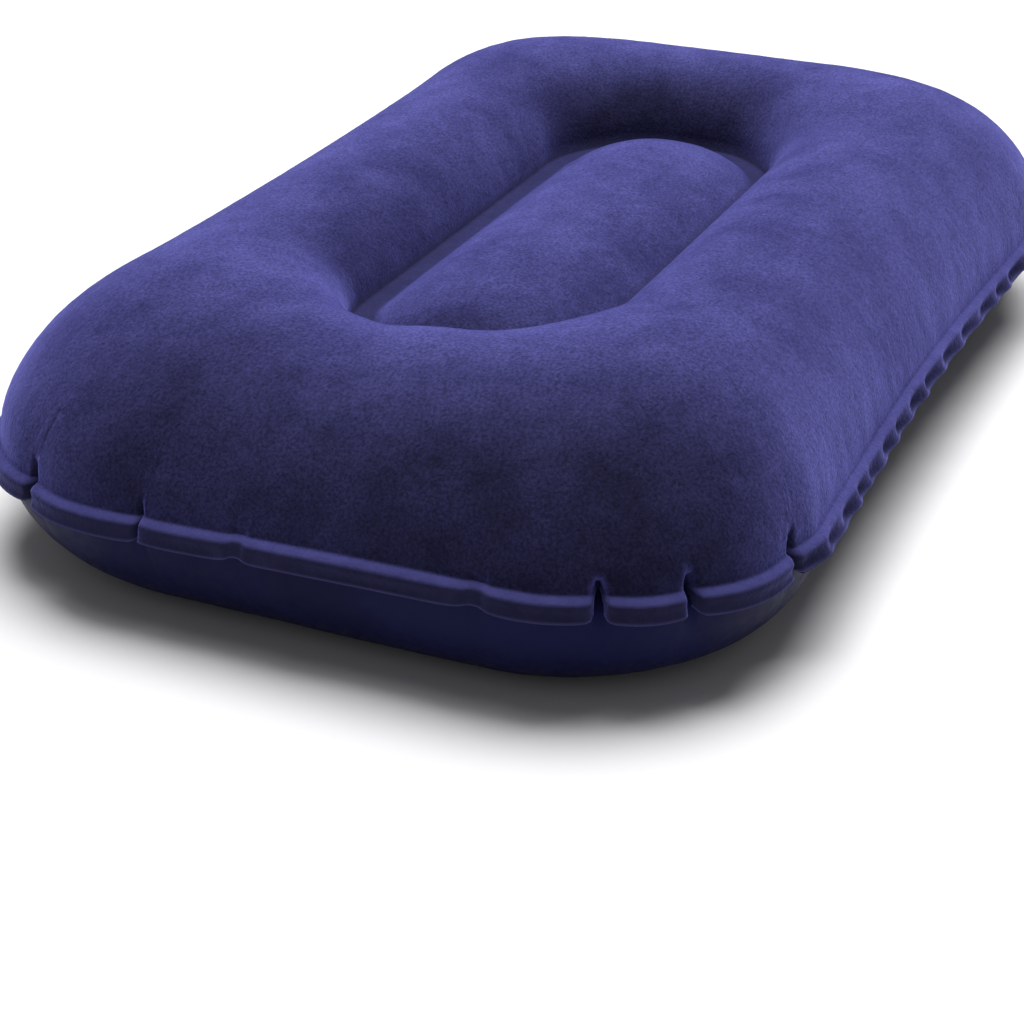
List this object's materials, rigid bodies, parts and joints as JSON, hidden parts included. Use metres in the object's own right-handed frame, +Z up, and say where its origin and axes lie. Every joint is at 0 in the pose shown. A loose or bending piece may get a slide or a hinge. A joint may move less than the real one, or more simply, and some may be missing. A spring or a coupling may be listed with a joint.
{
  "type": "camping pillow",
  "caption": "Inflatable camping pillow: flocked ring tube round a shallow head recess with a long centre cushion, ruffled weld flange, and a push-in air valve underneath.",
  "frame": {"origin": "centre of the footprint, on the surface the pillow lies on", "axes": "+X along the pillow's length, +Y across it, +Z up out of the flocked side"},
  "size_m": [0.4362, 0.278, 0.0883],
  "materials": {
    "flock": "short velvet pile on soft PVC film",
    "film": "smooth soft PVC film, satin",
    "valve_base": "soft clear moulded PVC",
    "valve_skirt": "soft clear moulded PVC",
    "valve_stem": "soft clear moulded PVC",
    "plug_strap": "soft clear moulded PVC",
    "valve_plug": "soft clear moulded PVC",
    "check_flap": "soft clear moulded PVC"
  },
  "bodies": {
    "pillow": {"top_sheet": "flock", "bottom_sheet": "film", "valve_base": "valve_base", "valve_skirt": "valve_skirt"},
    "stem": {"valve_stem": "valve_stem", "plug_strap": "plug_strap"},
    "plug": {"valve_plug": "valve_plug"},
    "flap": {"check_flap": "check_flap"}
  },
  "joints": [
    {"name": "stem_slide", "type": "slide", "parent": "pillow", "child": "stem", "axis": [0, 0, -1], "range_m": [0, 0.012], "deforming": ["valve_skirt"]},
    {"name": "plug_hinge", "type": "hinge", "parent": "stem", "child": "plug", "pos_m": [0.045, 0.008, 0.04064], "axis": [1, 0, 0], "range_deg": [0, 150], "deforming": ["plug_strap"]},
    {"name": "flap_hinge", "type": "hinge", "parent": "stem", "child": "flap", "pos_m": [0.045, 0.0048, 0.05434], "axis": [-1, 0, 0], "range_deg": [0, 60]}
  ]
}
